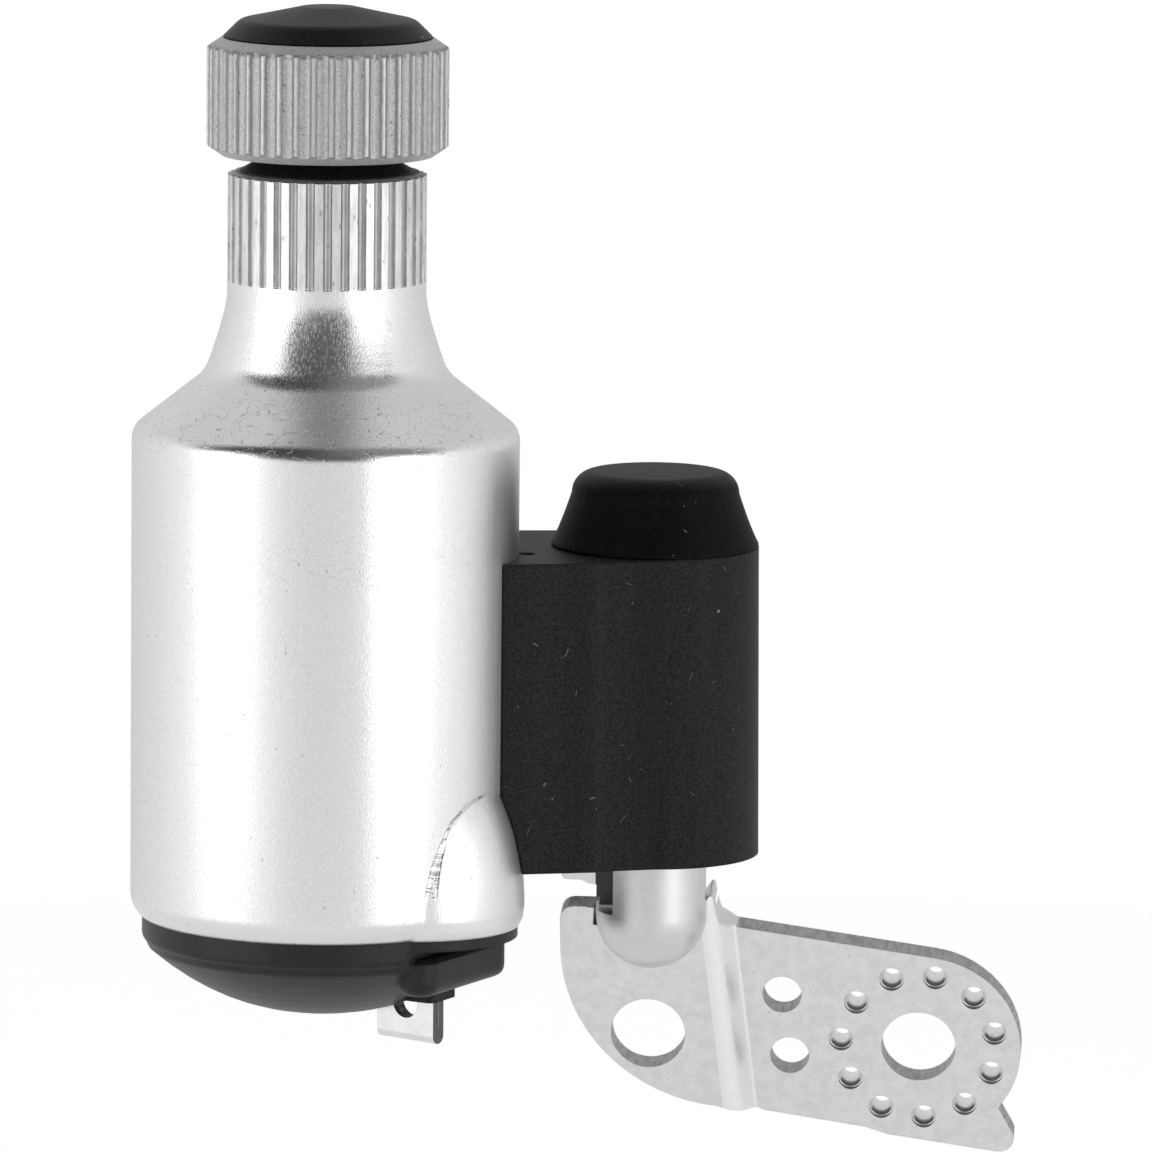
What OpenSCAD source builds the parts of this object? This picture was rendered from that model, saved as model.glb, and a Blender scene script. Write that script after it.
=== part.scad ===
// Bottle dynamo for a bicycle lamp, with its swing hinge and fork bracket.
// The bottle stands along +Z. The origin is the centre of the fork bolt hole,
// on the front face of the bracket; the tyre is on the +Y side.
// The dynamo is drawn at rest, latched away from the tyre.

/* [Bottle] */
// Outside diameter of the aluminium bottle
body_d = 41.8; // [41:0.1:43]
// Wall of the drawn bottle
body_wall = 1; // [0.8:0.05:1.2]
// Height of the straight side, from the lip to the shoulder
body_h = 51.8; // [51:0.1:56]
// Radius of the rolled bottom edge
lip_round = 3; // [2:0.1:3.5]
// How far the rolled lip turns in
lip_turn = 1.1; // [0.8:0.05:1.3]
// Radius between the side and the shoulder cone
shoulder_round = 2.3; // [1.5:0.1:3]
// Slope of the shoulder above the horizontal, in degrees
shoulder_slope = 38.2; // [34:0.1:42]
// Radius of the shoulder cone where the neck starts
shoulder_top_r = 14; // [13.6:0.1:14.6]
// Diameter of the neck at its foot
neck_foot_d = 25.1; // [24.7:0.1:25.5]
// Height of the tapering neck
neck_h = 8.5; // [7.5:0.1:9.5]
// Plain band between the neck and the flutes of the collar
neck_band = 1.4; // [0.8:0.1:2]
// Diameter of the fluted collar
collar_d = 21.4; // [21:0.1:22]
// Height of the fluted collar
collar_h = 11.7; // [10:0.1:13]
// Number of flutes in the collar
collar_flutes = 36; // [24:1:40]
// Radius of a collar flute
collar_flute_r = 0.48; // [0.3:0.02:0.55]

/* [Side bulge] */
// Angle from the hinge arm to the bulge, in degrees
bulge_angle = -42; // [-46:0.5:-38]
// How far the bulge stands out of the side
bulge_out = 2.5; // [1.5:0.1:3]
// Radius of the bulge seen from above
bulge_r = 12; // [10:0.1:12.5]
// Height of the bulge above the rolled lip
bulge_h = 13.8; // [13:0.1:15]
// Radius of the bulge seen from the side
bulge_side_r = 32; // [26:0.5:36]

/* [Drive roller] */
// Outside diameter of the drive roller
roller_d = 26; // [25:0.1:28]
// Height of the drive roller
roller_h = 12.6; // [11.5:0.1:14]
// Edge chamfer of the drive roller, across its end face
roller_chamfer = 1.6; // [1:0.1:1.7]
// Edge chamfer of the drive roller, along its side
roller_bevel = 1.1; // [0.8:0.1:1.4]
// Number of flutes in the roller
roller_flutes = 42; // [36:1:48]
// Radius of a roller flute
roller_flute_r = 1.1; // [1.05:0.05:1.6]
// Width of the crest left between two flutes
roller_crest = 0.2; // [0.1:0.05:0.4]
// Gap between the collar and the roller
roller_gap = 1.75; // [1.4:0.05:3]
// Diameter of the roller cap at its foot
roller_cap_d = 22.4; // [21.5:0.1:22.6]
// Height of the roller cap above the roller
roller_cap_h = 3.35; // [3:0.05:4.5]
// Diameter of the shaft
shaft_d = 5; // [4.5:0.1:5.5]
// Across flats of the roller nut
nut_af = 8; // [7.6:0.1:9]
// Height of the roller nut
nut_h = 4; // [3.2:0.1:4.5]

/* [Generator] */
// Outside diameter of the magnet
magnet_d = 20.4; // [18:0.1:20.6]
// Gap from each end of the stator to the magnet
magnet_inset = 3; // [2.5:0.1:4]
// Radius of the air gap between the magnet and the claws
air_gap = 0.5; // [0.4:0.05:0.8]
// Thickness of the claw sheet
claw_t = 1.2; // [1:0.05:1.3]
// Number of claws on each pole plate
claw_count = 4; // [3:1:6]
// Length of the stator pack
stator_h = 34; // [33:0.5:35]
// Outside diameter of the stator pack
stator_d = 38.4; // [37.8:0.1:38.5]
// Wall of the yoke ring
yoke_wall = 0.8; // [0.6:0.05:1]
// Wall of the bobbin
bobbin_wall = 1; // [0.8:0.1:1.2]
// Wall of the sintered bushes
bush_wall = 2; // [1.6:0.1:2.2]

/* [Bottom cap] */
// Depth of the cap below the lip
cap_depth = 10.6; // [9.5:0.1:11]
// Height of the straight wall of the cap
cap_side = 2.9; // [2.4:0.1:3.4]
// How far the cap wall stands in from the lip's edge
cap_step = 0.15; // [0.05:0.05:0.4]
// Wall of the moulded cap
cap_wall = 1.6; // [1.2:0.1:1.8]
// Distance from the bottle's axis to the flat of the cap
cap_flat = 16.8; // [16.4:0.1:17.4]
// Length of the nose bar on the flat
cap_bar_len = 17.9; // [16:0.1:19]
// Width of the nose bar
cap_bar_w = 4.6; // [4:0.1:5]
// Depth of the nose bar below the lip
cap_bar_low = 6.4; // [6:0.1:6.8]

/* [Terminal] */
// Width of the terminal strip
terminal_w = 7.7; // [6.3:0.1:8]
// Thickness of the terminal sheet before it is folded
terminal_sheet = 0.9; // [0.8:0.05:1]
// Outer edge of the terminal from the bottle's axis
terminal_edge = 15; // [14.6:0.1:15.1]
// Lowest point of the terminal below the lip
terminal_drop = 12.9; // [12.5:0.1:14]
// Angle that the terminal is turned from the radius, in degrees
terminal_turn = 7.5; // [0:0.5:9]
// Hole through the terminal
terminal_hole_d = 3.4; // [2.6:0.1:3.6]

/* [Hinge] */
// Distance from the bottle's axis to the hinge axis
hinge_reach = 36.4; // [36:0.1:38]
// Radius of the housing's round end, at the top
housing_r = 11.3; // [11:0.1:12]
// How much wider the round end is at the bottom
housing_draft = 0.36; // [0.2:0.02:0.5]
// Half width of the housing where it meets the bottle, on the outer side
housing_root = 12.1; // [11.9:0.1:13]
// Half width of the housing where it meets the bottle, on the tyre side
housing_back = 14.4; // [13:0.1:15]
// Height of the housing's underside above the lip
housing_low = 5.75; // [5:0.05:6.5]
// Height of the housing
housing_h = 33.7; // [33.5:0.05:36]
// Thickness of the housing's floor
housing_floor = 3; // [2.6:0.1:3.5]
// Radius of the bore that holds the spring
chamber_r = 9.2; // [9:0.1:9.4]
// Radius of the hinge tube
tube_r = 6; // [5.7:0.05:6.1]
// Angle that the dynamo swings from its latch to the tyre, in degrees
swing_range = 25; // [20:1:28]
// Angle between the hinge arm and the bracket at rest, in degrees
swing_rest = 17; // [14:0.5:20]
// Height of the rubber boot above the housing
boot_h = 8.5; // [7.5:0.1:9]
// Wall of the rubber boot
boot_wall = 1.3; // [1:0.1:1.5]
// Travel of the release button
button_travel = 2.5; // [2:0.1:2.6]

/* [Bracket] */
// Thickness of the bracket sheet
sheet = 2.7; // [2:0.1:3]
// Angle that the bracket leans from the hinge axis, in degrees
lean = 14; // [12:0.5:16]
// Hinge axis to the fork bolt, along the bracket
hinge_x = -29.1; // [-30:0.05:-28]
// Hinge axis in front of the fork bolt hole
hinge_y = -7.3; // [-8:0.05:-6.8]
// Bottle lip above the fork bolt hole
lip_z = 16.7; // [16:0.1:18]
// Angle that the arm falls towards its end, in degrees
arm_droop = 8.3; // [6:0.1:10]
// Radius of the arm's round end
arm_r = 11.1; // [11:0.1:12]
// Fork bolt hole
fork_hole_d = 8.2; // [8:0.1:8.6]
// Second bolt hole, below the hinge
side_hole_d = 8.2; // [8:0.1:8.6]
// Small holes in the arm
small_hole_d = 4.3; // [4:0.1:4.6]
// Number of pierced grip points round the fork bolt
grip_count = 11; // [8:1:12]
// Diameter of the circle that the grip points lie on
grip_circle_d = 17.1; // [16.6:0.1:17.6]
// Mouth of a pierced grip point
grip_mouth_d = 2.7; // [2.2:0.1:2.9]
// Hole left at the bottom of a grip point
grip_hole_d = 1.7; // [1.3:0.1:2]
// Height of the burr that a grip point raises behind the arm
grip_burr = 0.6; // [0.3:0.1:0.8]

/* [Hidden] */
$fn = 64;

// Clearances
seat = 0.02;        // between pieces that are pressed or glued together
run = 0.05;         // between a shaft and its bush
clear = 0.3;        // between curved faces that pass each other
slack = 0.1;        // between flat faces that turn on each other
past = 1;           // how far a cutter runs past the face it cuts
far = 80;           // longer than any cut needs

// Bottle
body_r = body_d / 2;
lip_r = body_r - lip_turn;
lip_angle = acos(1 - lip_turn / lip_round);
lip_mid = lip_round * sin(lip_angle);
body_in_r = body_r - body_wall;
cone_top_z = body_h + shoulder_round * cos(shoulder_slope)
    + (body_r - shoulder_round * (1 - sin(shoulder_slope)) - shoulder_top_r) * tan(shoulder_slope);
neck_foot_r = neck_foot_d / 2;
neck_foot_h = 2.2;
neck_foot_z = cone_top_z + neck_foot_h;
collar_r = collar_d / 2;
collar_z = neck_foot_z + neck_h;
collar_top = collar_z + collar_h;
collar_edge = 0.3;
collar_in_r = collar_r - collar_flute_r - body_wall * 0.8;
bulge_mid_r = body_r + bulge_out - bulge_r;
bulge_top = lip_mid + bulge_h;

// Drive roller
roller_r = roller_d / 2;
roller_z = collar_top + roller_gap;
roller_top = roller_z + roller_h;
roller_skirt = 2.3;
roller_well_r = 8.9;
roller_well = 6.5;
cap_foot_r = roller_cap_d / 2;
cap_top_z = roller_top + roller_cap_h;
shaft_r = shaft_d / 2;

// Generator, from the bottom up
plate_t = 3;
plate_z = 6.5;
plate_gap = 2.5;
stator_z = plate_z + plate_t + plate_gap;
stator_top = stator_z + stator_h;
stator_r = stator_d / 2;
claw_r = magnet_d / 2 + air_gap;
claw_out_r = claw_r + claw_t;
claw_tip = 3.6;
magnet_h = stator_h - 2 * magnet_inset;
magnet_z = stator_z + magnet_inset;
magnet_bore_r = 5;
bobbin_in_r = claw_out_r + clear;
bobbin_out_r = stator_r - yoke_wall - clear;
bobbin_z = stator_z + claw_t + seat;
bobbin_h = stator_h - 2 * claw_t - 2 * seat;
bush_r = shaft_r + run + bush_wall;
lower_bush_z = 4;
lower_bush_h = 8;
carrier_flange_t = 2.6;
bush_rise = 2.9;
bush_top = collar_top + bush_rise;
washer_t = roller_z + roller_skirt - bush_top - slack;
clip_t = 0.8;
clip_w = 1.4;
clip_groove = 0.4;
washer_w = 0.6;
plate_boss_w = 2;
plate_rim_w = 4;
carrier_wall = 2;
hub_end = 0.5;
hub_flange_w = 2.5;
hub_flange_t = 1.2;
shaft_drop = 0.6;
shaft_short = 3.6;

// Bottom cap
cap_r = lip_r - cap_step;
cap_spigot_r = lip_r - body_wall - slack;
cap_spigot_top = plate_z;
cap_flange_t = 1.2;
gasket_h = 1.6;
bar_top = -2.2;
bar_reach = 1.8;
bar_round = 1.3;
bar_edge = 0.5;
bar_out = cap_flat + bar_reach;
terminal_mid = terminal_edge - terminal_w / 2;
block_half = 2.65;
block_rim = 0.5;
block_back = 0.6;
block_round = 0.8;
block_out = terminal_edge + block_rim;
contact_t = 0.5;
contact_in = 0.8;
block_low = -8.1;

// Hinge
shelf = housing_low + housing_h;
bush_flange = 1;
hinge_bush_wall = 1.5;
tube_wall = 2.3;
tube_in_r = tube_r - tube_wall;
tube_low = -1.2;
slit_low = -0.7;
slit_h = 16;
lug_out = 3.85;
spring_low = housing_low + housing_floor + bush_flange + clear;
bush_up_h = 3.5;
bush_up_drop = 15.2;
bush_up_z = shelf - bush_up_drop;
clip_z = bush_up_z + bush_up_h + 2 * slack;
hinge_clip_t = 1;
hinge_clip_w = 2.2;
hinge_clip_gap = 3;
rivet_r = 1.6;
rivet_head_r = 3;
rivet_head_t = 0.6;
rivet_wall = 1.7;
rivet_end = hinge_reach - chamber_r - rivet_wall;
rivet_room = 1.4;
dust_hole_r = 0.9;
dust_hole_h = 3;
dust_hole_y = -4.5;
tube_drop = 4.7;
tube_top = shelf - tube_drop;
guide_t = 2;
guide_drop = 4;
guide_z = shelf - guide_drop;
key_t = 1.8;
key_z = tube_top - key_t - 2 * slack;
key_w = 2.4;
stem_r = tube_in_r - clear;
stem_below = 6;
window_room = 0.4;
window_low = key_z - button_travel - window_room;
head_r = 6.2;
head_t = 1.8;
head_top = shelf + boot_h - boot_wall - clear;

// Springs
swing_wire = 1.3;
swing_coil_r = (tube_r + chamber_r) / 2;
swing_turns = 7;
button_wire = 0.7;
button_coil_r = 4.7;
button_turns = 3.5;
curl_rings = 8;

// Bracket, in the plane of its sheet: u along the arm, v up, w behind the front face
side_u = -29.55;
side_v = 2.3;
fork_step = -hinge_y * cos(lean) - (lip_z + tube_low) * sin(lean);
small_holes = [[-15, 5.85], [-14.2, -1.5]];
joggle_tilt = 6;
joggle_angle = 60;
bend_in = 0.5;
joggle_u = -18.5;
field_r = 18.8;
field_u = -20.3;
field_v = 12.35;
field_top = 17.4;
grip_start = 12.2;
arm_mid = [0.2, -0.2];

// Points of an arc about (x, y)
function arc(x, y, r, from, to, steps) =
    [for (i = [0 : steps]) let (a = from + (to - from) * i / steps) [x + r * cos(a), y + r * sin(a)]];

// Points of a curve from p to q that is drawn towards m
function bend(p, m, q, steps) =
    [for (i = [0 : steps]) let (t = i / steps) p * (1 - t) ^ 2 + m * 2 * t * (1 - t) + q * t ^ 2];

function unit(v) = v / norm(v);
function after_first(p) = [for (i = [1 : len(p) - 1]) p[i]];
function backwards(p) = [for (i = [len(p) - 1 : -1 : 0]) p[i]];

// The same path moved sideways by d, to the left of its direction
function beside(p, d) =
    [for (i = [0 : len(p) - 1])
        let (t = unit(p[min(i + 1, len(p) - 1)] - p[max(i - 1, 0)])) p[i] + d * [-t[1], t[0]]];

// A path closed along the axis, ready to revolve
function solid_path(p) = concat([[0, p[0][1]]], p, [[0, p[len(p) - 1][1]]]);

// Outside of the bottle from the lip to the foot of the collar
function bottle_path() = concat(
    arc(body_r - lip_round, lip_mid, lip_round, -lip_angle, 0, 8),
    arc(body_r - shoulder_round, body_h, shoulder_round, 0, 90 - shoulder_slope, 8),
    bend([shoulder_top_r, cone_top_z],
         [neck_foot_r + 0.45, cone_top_z + (shoulder_top_r - neck_foot_r - 0.45) * tan(shoulder_slope)],
         [neck_foot_r, neck_foot_z], 8),
    after_first(bend([neck_foot_r, neck_foot_z],
                     [collar_r + 0.05, neck_foot_z + (neck_h - neck_band) * 0.72],
                     [collar_r, collar_z - neck_band], 10)),
    [[collar_r, collar_z]]);

function bulge_foot_r() = bulge_r - lip_turn * 0.5;

// The bulge as a filled solid about its own upright axis, its wall moved in by d
module bulge_solid(d, low = 0) {
    rise = [for (i = [0 : 12]) (bulge_top - lip_mid) * i / 12];
    at_bulge()
        translate([bulge_mid_r, 0, 0])
            rotate_extrude()
                polygon(concat([[0, low], [bulge_foot_r() - d, low], [bulge_foot_r() + 0.4 - d, 0.8]],
                    [[bulge_r - d, lip_mid - 0.3]],
                    [for (z = rise)
                        [bulge_r - d - bulge_side_r + sqrt(bulge_side_r ^ 2 - z ^ 2), lip_mid + z]],
                    [[0, bulge_top]]));
}

// Places children in the dynamo's own frame: lip centre at its origin, +X towards the hinge
module on_dynamo() {
    translate([hinge_x, hinge_y, lip_z])
        rotate([0, 0, swing_rest])
            translate([-hinge_reach, 0, 0])
                children();
}

// Places children on the hinge axis, turned with the dynamo
module on_hinge() {
    on_dynamo()
        translate([hinge_reach, 0, 0])
            children();
}

// Places children in the plane of the bracket sheet
module on_sheet() {
    rotate([lean, 0, 0])
        children();
}

module ring(outer, inner, low, height) {
    translate([0, 0, low])
        difference() {
            cylinder(r = outer, h = height);
            translate([0, 0, -past])
                cylinder(r = inner, h = height + 2 * past);
        }
}

module at_bulge() {
    rotate([0, 0, bulge_angle])
        children();
}

// A helix of round wire, its ends square to the axis
function helix_ring(k, coil_r, wire_r, pitch, sides) =
    let (a = 360 * k / curl_rings, climb = atan(pitch / (2 * PI * coil_r)))
    [for (j = [0 : sides - 1])
        let (b = 360 * j / sides, out = wire_r * cos(b), up = wire_r * sin(b))
        [(coil_r + out) * cos(a) + up * sin(climb) * sin(a),
         (coil_r + out) * sin(a) - up * sin(climb) * cos(a),
         pitch * a / 360 + up * cos(climb)]];

module helix(coil_r, wire_r, pitch, turns) {
    sides = 6;
    rings = floor(turns * curl_rings);
    points = [for (k = [0 : rings]) each helix_ring(k, coil_r, wire_r, pitch, sides)];
    skin = [for (k = [0 : rings - 1], j = [0 : sides - 1])
        let (a = k * sides + j, b = k * sides + (j + 1) % sides)
        each [[a, b + sides, b], [a, a + sides, b + sides]]];
    first = [for (j = [1 : sides - 2]) [0, j, j + 1]];
    last = [for (j = [1 : sides - 2]) [rings * sides, rings * sides + j + 1, rings * sides + j]];
    gap = min([for (k = [0 : rings - curl_rings])
        let (below = helix_ring(k, coil_r, wire_r, pitch, sides),
             above = helix_ring(k + curl_rings, coil_r, wire_r, pitch, sides))
        for (p = below, q = above) norm(p - q)]);
    echo("least gap between turns", gap);
    polyhedron(points, concat(skin, first, last));
}

// Stamped bracket: sheet, hinge tube and stop lug in one piece

// One face of the sheet across the joggle, d behind its front face
function sheet_face(d) = let (outer = bend_in + sheet, straight = (fork_step - (outer + bend_in)
    * (1 - cos(joggle_angle))) / sin(joggle_angle), run = (outer + bend_in) * sin(joggle_angle)
    + straight * cos(joggle_angle))
    concat([[-30, d - fork_step]],
           arc(-run, outer - fork_step, outer - d, -90, joggle_angle - 90, 6),
           arc(0, -bend_in, bend_in + d, 90 + joggle_angle, 90, 6),
           [[45, d]]);

// Cross-section of the sheet across the joggle
module sheet_section() {
    polygon(concat(sheet_face(0), backwards(sheet_face(sheet))));
}

function turned(p, a) = [for (q = p) [q[0] * cos(a) - q[1] * sin(a), q[0] * sin(a) + q[1] * cos(a)]];

// Outline of the sheet seen square to it, from the tail of the arm anticlockwise
function arm_outline() = turned(concat(
    arc(10.45, arm_mid[1] - arm_r + 1.7, 1.6, -90, 40, 6),
    [[9.8, -6]],
    arc(arm_mid[0], arm_mid[1], arm_r, -28, 90, 20)), -arm_droop);

module sheet_outline() {
    polygon(concat(
        arm_outline(),
        [[-20, field_top - 3.5], [-20.8, field_top - 2.9], [-21.7, field_top - 2.2], [-22, field_top - 1.2],
         [-22.4, field_top + 1.1], [-22.7, field_top + 1.3], [-24, field_top]],
        arc(field_u - field_r + 1.5, field_top - 1.5, 1.5, 90, 180, 4),
        arc(field_u, field_v, field_r, 180, 265, 16),
        turned([[-15.6, 0.45 - arm_r], [-4.4, 0.35 - arm_r], [-1.8, -0.1 - arm_r]], -arm_droop)));
}

module sheet_plate() {
    intersection() {
        translate([joggle_u, 0, 0])
            rotate([0, -joggle_tilt, 0])
                translate([0, 0, -far / 2])
                    linear_extrude(far)
                        sheet_section();
        translate([0, far / 4, 0])
            rotate([90, 0, 0])
                linear_extrude(far / 2)
                    sheet_outline();
    }
}

module sheet_hole(u, v, d) {
    translate([u, -far / 4, v])
        rotate([-90, 0, 0])
            cylinder(d = d, h = far / 2);
}

module grip_point_cut() {
    rotate([-90, 0, 0]) {
        translate([0, 0, -past])
            cylinder(d = grip_mouth_d, h = past + 0.5);
        cylinder(d1 = grip_mouth_d, d2 = grip_hole_d, h = sheet * 0.7);
        cylinder(d = grip_hole_d, h = sheet + grip_burr + past);
    }
}

module at_grip_points() {
    for (i = [0 : grip_count - 1])
        let (a = grip_start + 360 * i / grip_count)
        translate([grip_circle_d / 2 * cos(a), 0, grip_circle_d / 2 * sin(a)])
            children();
}

module bracket_tube() {
    translate([hinge_x, hinge_y, lip_z]) {
        translate([0, 0, tube_low])
            cylinder(r = tube_r, h = tube_top - tube_low);
        intersection() {
            translate([0, 0, tube_low])
                sphere(r = tube_r);
            translate([-tube_r, -tube_r, tube_low - tube_r - past])
                cube([2 * tube_r, 2 * tube_r, tube_r + past]);
        }
        stop_lug();
    }
}

// Lug on the left of the tube that the housing turns over
module stop_lug() {
    out = tube_r + lug_out;
    translate([0, sheet, 0])
        rotate([90, 0, 0])
            linear_extrude(sheet)
                polygon(concat(
                    [[-tube_r + 1.6, housing_low - clear], [-out, housing_low - clear]],
                    arc(-out + 0.7, 3, 0.7, 180, 270, 4),
                    bend([-out + 2.2, 2.3], [-out + 2.9, 1.8], [-out + 3.8, 1.8], 3),
                    [[-tube_r + 1.6, 1.8]]));
}

module bracket_tube_cut() {
    translate([hinge_x, hinge_y, lip_z]) {
        translate([0, 0, tube_low])
            cylinder(r = tube_in_r, h = tube_top - tube_low + past);
        translate([0, 0, tube_low])
            sphere(r = tube_in_r);
        translate([-tube_r - past, -tube_r - past, slit_low])
            cube([tube_r - tube_in_r - 0.1 + past, tube_r + past, slit_h]);
        rotate([0, 0, swing_rest])
            latch_window();
        ring(tube_r + past, tube_r - 0.5, clip_z, hinge_clip_t);
    }
}

// Sector at the top of the tube that the latch key moves in
module latch_window() {
    spare = 4;
    translate([0, 0, window_low])
        rotate([0, 0, -swing_range - key_angle() - spare])
            rotate_extrude(angle = swing_range + 2 * key_angle() + 2 * spare)
                translate([tube_in_r - past, 0])
                    square([tube_r - tube_in_r + 2 * past, tube_top - window_low + past]);
}

// Half angle that the latch key covers in the tube's wall
function key_angle() = asin(key_w / 2 / tube_in_r);

module bracket() {
    color("silver")
        difference() {
            union() {
                on_sheet()
                    sheet_plate();
                on_sheet()
                    at_grip_points()
                        rotate([-90, 0, 0])
                            cylinder(d1 = grip_mouth_d + 0.4,
                                     d2 = grip_hole_d + 0.5,
                                     h = sheet + grip_burr);
                bracket_tube();
            }
            on_sheet() {
                sheet_hole(0, 0, fork_hole_d);
                sheet_hole(side_u, side_v, side_hole_d);
                for (p = small_holes)
                    sheet_hole(p[0], p[1], small_hole_d);
                at_grip_points()
                    grip_point_cut();
                torn_notch();
                behind_pocket();
            }
            bracket_tube_cut();
        }
}

// Room behind the sheet where the drawn pocket of the tube is open
module behind_pocket() {
    translate([hinge_x - tube_r - past, -fork_step + sheet, -2 * tube_r])
        cube([2 * tube_r + 2 * past, 4 * tube_r, 2 * tube_r + field_top]);
}

// Blind tear beside the tube where the sheet has been drawn
module torn_notch() {
    translate([hinge_x - tube_r + 0.15, -fork_step - past, field_top - 2.2])
        rotate([0, 4, 0])
            translate([-0.5, 0, 0])
                cube([0.5, past + sheet * 0.6, 2.2 + past]);
}

module tube_clip() {
    color("dimgray")
        translate([hinge_x, hinge_y, lip_z])
            difference() {
                ring(tube_r + hinge_clip_w, tube_r - 0.5 + seat, clip_z + seat, hinge_clip_t - 2 * seat);
                translate([0, -hinge_clip_gap / 2, clip_z - past])
                    cube([tube_r + hinge_clip_w + past, hinge_clip_gap, hinge_clip_t + 2 * past]);
            }
}

// Bottle and what is fixed to it

// Fluted collar on top of the neck, filled
module collar() {
    translate([0, 0, collar_z])
        linear_extrude(collar_h - collar_edge)
            difference() {
                circle(r = collar_r);
                for (i = [0 : collar_flutes - 1])
                    rotate(360 * i / collar_flutes)
                        translate([collar_r, 0])
                            circle(r = collar_flute_r, $fn = 24);
            }
    translate([0, 0, collar_top - collar_edge])
        cylinder(r1 = collar_r - collar_flute_r,
                 r2 = collar_r - collar_flute_r - collar_edge,
                 h = collar_edge);
}

module rivet_holes() {
    for (z = rivet_heights())
        translate([body_in_r - past, 0, z])
            rotate([0, 90, 0])
                cylinder(r = rivet_r, h = rivet_end + rivet_room - body_in_r + past);
}

function rivet_heights() = [housing_low + 8, shelf - 8];

module bottle() {
    color("gainsboro")
        on_dynamo()
            difference() {
                union() {
                    rotate_extrude()
                        polygon(solid_path(bottle_path()));
                    bulge_solid(0);
                    collar();
                }
                rotate_extrude()
                    polygon(solid_path(concat(
                        [[lip_r - body_wall, -past]],
                        beside(bottle_path(), body_wall),
                        [[collar_in_r, collar_z + 0.1], [collar_in_r, collar_top + past]])));
                bulge_solid(body_wall, -past);
                rivet_holes();
            }
}

// Plan of the hinge housing, from inside the bottle to the middle of the round end
module housing_plan() {
    pad = hinge_reach - housing_r + 2.4;
    polygon([[body_r * 0.6, -housing_root], [pad, -housing_root - 0.15], [pad + 0.9, 0.3 - housing_root],
             [hinge_reach + 0.5, -housing_r], [hinge_reach + 1.2, housing_r - 0.05],
             [body_r * 0.6, housing_back]]);
}

module hinge_housing() {
    color([0.13, 0.13, 0.14])
        on_dynamo()
            difference() {
                translate([0, 0, housing_low]) {
                    linear_extrude(housing_h)
                        housing_plan();
                    translate([hinge_reach, 0, 0])
                        cylinder(r1 = housing_r + housing_draft, r2 = housing_r, h = housing_h);
                }
                translate([0, 0, housing_low - past])
                    cylinder(r = body_r + seat, h = housing_h + 2 * past);
                bulge_solid(-0.1);
                translate([hinge_reach, 0, housing_low + housing_floor])
                    cylinder(r = chamber_r, h = housing_h);
                translate([hinge_reach, 0, housing_low - past])
                    cylinder(r = tube_r + run + hinge_bush_wall, h = housing_floor + 2 * past);
                rivet_holes();
                translate([body_r + 0.4, dust_hole_y, shelf - dust_hole_h])
                    cylinder(r = dust_hole_r, h = dust_hole_h + past);
            }
}

module hinge_rivets() {
    color("silver")
        on_dynamo()
            for (z = rivet_heights())
                translate([0, 0, z])
                    rotate([0, 90, 0]) {
                        translate([0, 0, body_in_r - rivet_head_t])
                            cylinder(r = rivet_r - seat, h = rivet_end - body_in_r + rivet_head_t);
                        intersection() {
                            translate([0, 0, body_in_r - rivet_head_t])
                                cylinder(r = rivet_head_r, h = 2 * rivet_head_t);
                            rotate([0, 90, 0])
                                cylinder(r = body_in_r - seat, h = 3 * rivet_head_r, center = true);
                        }
                    }
}

module lower_hinge_bush() {
    color("darkgoldenrod")
        on_hinge() {
            ring(tube_r + run + hinge_bush_wall - seat, tube_r + run,
                 housing_low, housing_floor + bush_flange);
            ring(chamber_r - clear, tube_r + run, housing_low + housing_floor, bush_flange);
        }
}

module upper_hinge_bush() {
    color("darkgoldenrod")
        on_hinge()
            ring(chamber_r - seat, tube_r + run, bush_up_z, bush_up_h);
}

module swing_spring() {
    room = bush_up_z - spring_low - swing_wire;
    color("slategray")
        on_hinge()
            translate([0, 0, spring_low + swing_wire / 2])
                helix(swing_coil_r, swing_wire / 2, (room - 0.2) / swing_turns, swing_turns);
}

module button_guide() {
    color("dimgray")
        on_hinge()
            ring(chamber_r - seat, stem_r + run, guide_z, guide_t);
}

module button_spring() {
    room = head_top - head_t - guide_z - guide_t - button_wire;
    color("silver")
        on_hinge()
            translate([0, 0, guide_z + guide_t + button_wire / 2])
                helix(button_coil_r, button_wire / 2, room / button_turns, button_turns);
}

// Outside of the rubber boot
function boot_path() = concat(
    [[housing_r - 0.05, 0]],
    bend([housing_r - 0.05, 0.35], [housing_r - 0.95, 2], [housing_r - 2.1, boot_h - 1.6], 10),
    after_first(arc(housing_r - 3.65, boot_h - 1.6, 1.55, 0, 84, 7)));

module button_boot() {
    color([0.08, 0.08, 0.09])
        on_hinge()
            translate([0, 0, shelf]) {
                difference() {
                    rotate_extrude()
                        polygon(concat([[0, 0]], boot_path(), [[0, boot_h]]));
                    rotate_extrude()
                        polygon(concat([[0, -past], [housing_r - 3.2, -past]],
                                       [[housing_r - 3.2, boot_h - boot_wall - 1],
                                        [housing_r - 4.2, boot_h - boot_wall],
                                        [0, boot_h - boot_wall]]));
                }
                ring(chamber_r - seat, housing_r - 3.2,
                     guide_z + guide_t - shelf, shelf - guide_z - guide_t + 0.5);
            }
}

module latch_plunger() {
    color("dimgray")
        on_hinge() {
            translate([0, 0, key_z - stem_below])
                cylinder(r = stem_r, h = head_top - head_t - key_z + stem_below + 0.2);
            translate([0, 0, head_top - head_t])
                cylinder(r = head_r, h = head_t);
            translate([0, -key_w / 2, key_z])
                cube([tube_r - 0.2, key_w, key_t]);
        }
}

// Bearings and frame of the generator

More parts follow.
